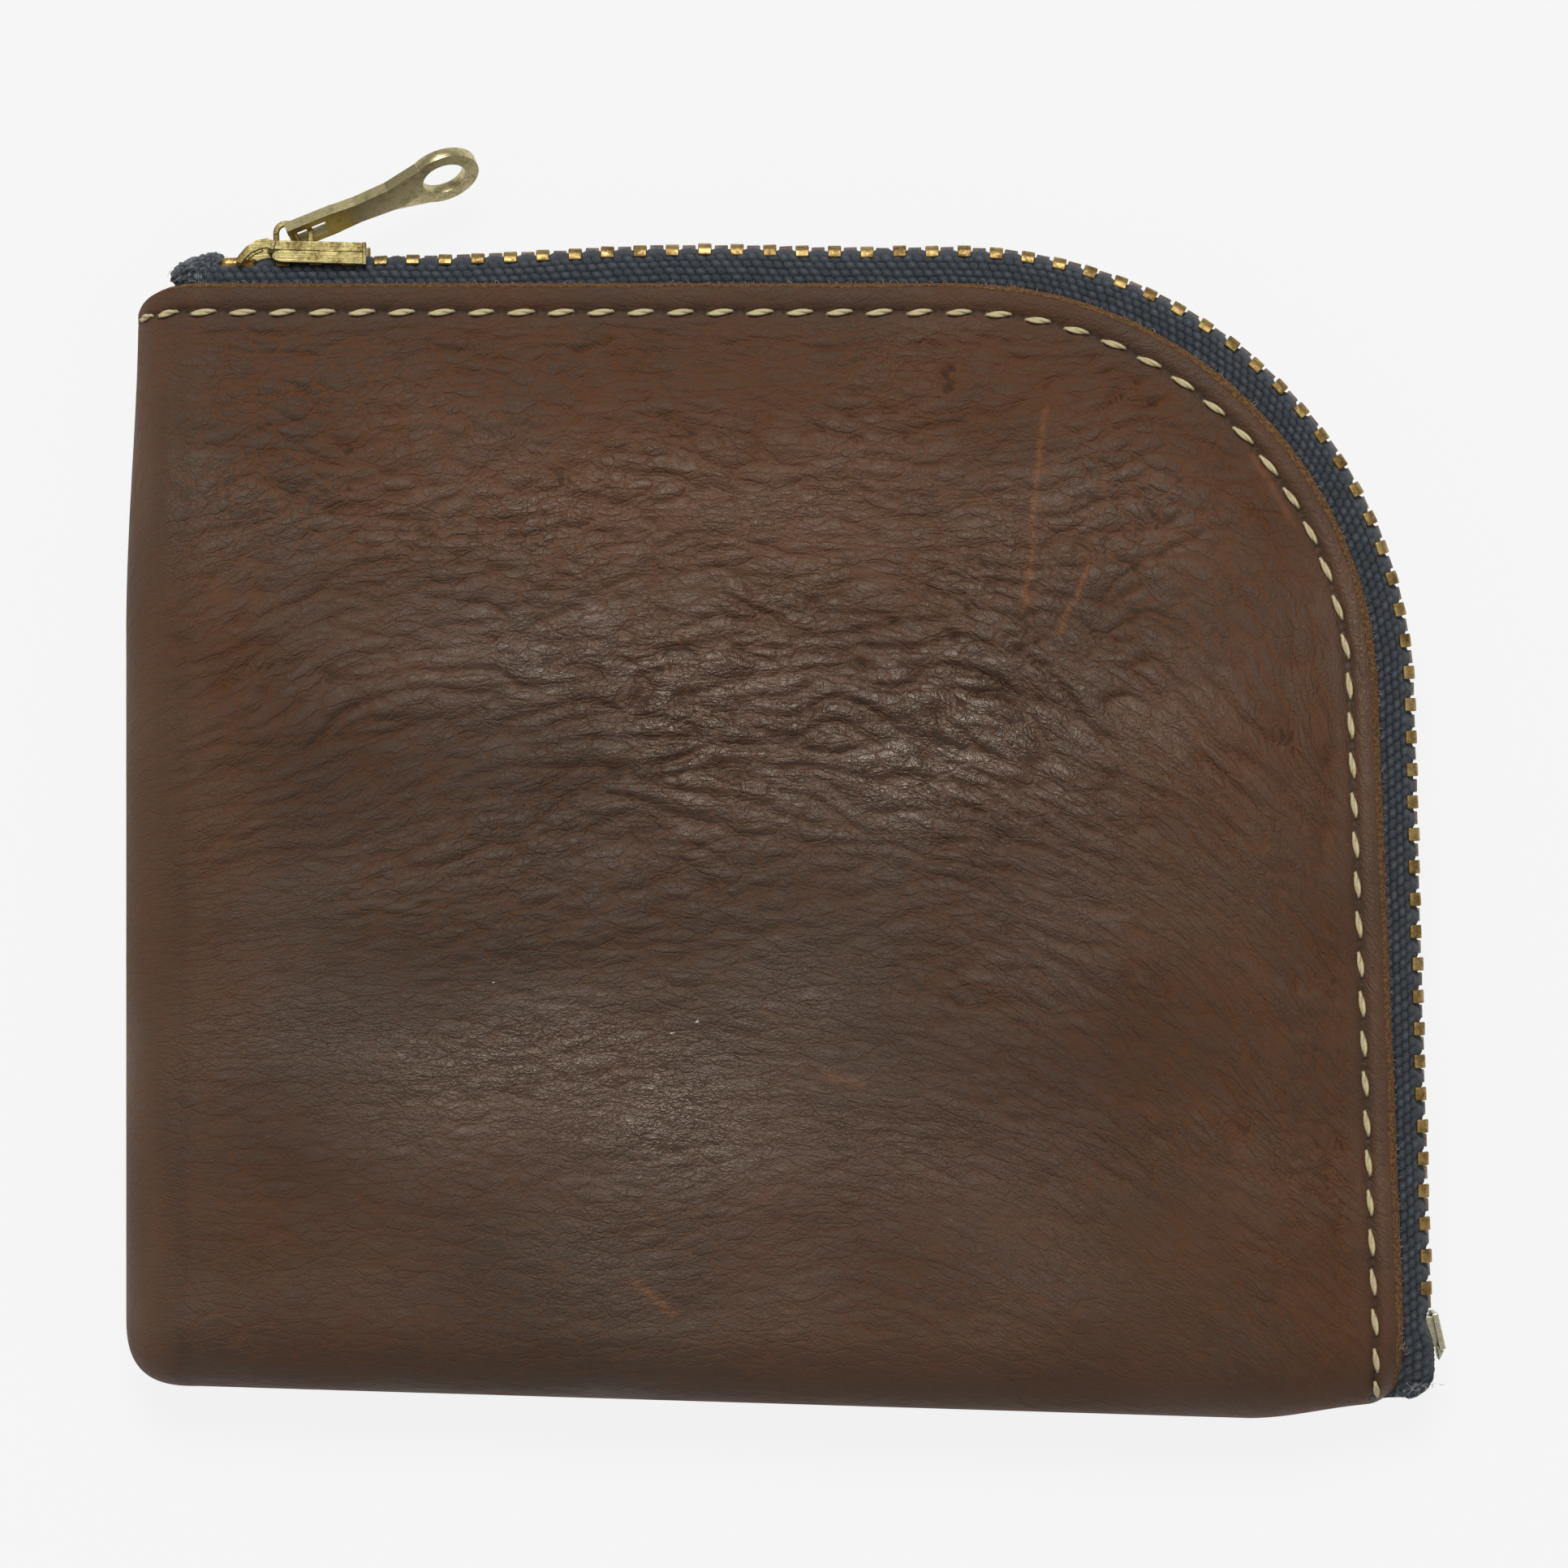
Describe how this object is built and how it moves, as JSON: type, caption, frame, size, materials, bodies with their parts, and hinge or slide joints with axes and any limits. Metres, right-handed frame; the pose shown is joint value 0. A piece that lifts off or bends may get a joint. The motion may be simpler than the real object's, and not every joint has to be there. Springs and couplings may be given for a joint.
{
  "type": "zippered pouch",
  "caption": "Flat leather pouch with a folded spine, a turned bottom seam and a metal zip that runs along the top, round a large corner and down the side, with a swinging pull.",
  "frame": {"origin": "centre of the flat back face that the pouch lies on", "axes": "+X from the spine towards the side edge with the zip, +Y towards the top edge with the zip, +Z out of the front"},
  "size_m": [0.1145, 0.1111, 0.013],
  "materials": {
    "hide": "waxed pull-up leather with worn highlights",
    "hide_fold": "waxed leather, lighter where it folds",
    "tape": "woven cotton tape",
    "tooth_metal": "antique brass, worn",
    "stop_metal": "antique brass, brighter",
    "slider_metal": "antique brass, aged",
    "thread": "waxed cream thread"
  },
  "bodies": {
    "pouch": {"back_panel": "hide", "back_bottom_fold": "hide", "front_bottom_fold": "hide", "spine_fold": "hide_fold", "front_panel": "hide", "back_tape": "tape", "front_tape_ends": "tape", "back_tape_cord": "tape", "front_cord_ends": "tape", "back_tape_fold": "tape", "front_tape_fold": "tape", "back_teeth": "tooth_metal", "front_teeth_ends": "tooth_metal", "back_top_stop": "stop_metal", "front_top_stop": "stop_metal", "bottom_stop": "stop_metal", "back_stitching": "thread", "front_stitching_ends": "thread", "bottom_seam_thread": "thread"},
    "mouth_flap": {"mouth_flap": "hide", "front_tape": "tape", "front_tape_cord": "tape", "front_teeth": "tooth_metal", "front_stitching": "thread"},
    "slider": {"slider_body": "slider_metal", "pull_bail": "slider_metal"},
    "pull": {"pull_tab": "slider_metal"}
  },
  "joints": [
    {"name": "slider_travel", "type": "slide", "parent": "pouch", "child": "slider", "axis": [0.9998, 0.0175, 0], "range_m": [0, 0.049]},
    {"name": "pull_swing", "type": "hinge", "parent": "slider", "child": "pull", "pos_m": [-0.03992, 0.05239, 0.0065], "axis": [0, 0, 1], "range_deg": [0, 125]},
    {"name": "mouth_open", "type": "hinge", "parent": "pouch", "child": "mouth_flap", "pos_m": [0.01035, 0.01035, 0.0095], "axis": [0.7071, -0.7071, 0], "range_deg": [0, 30]}
  ]
}
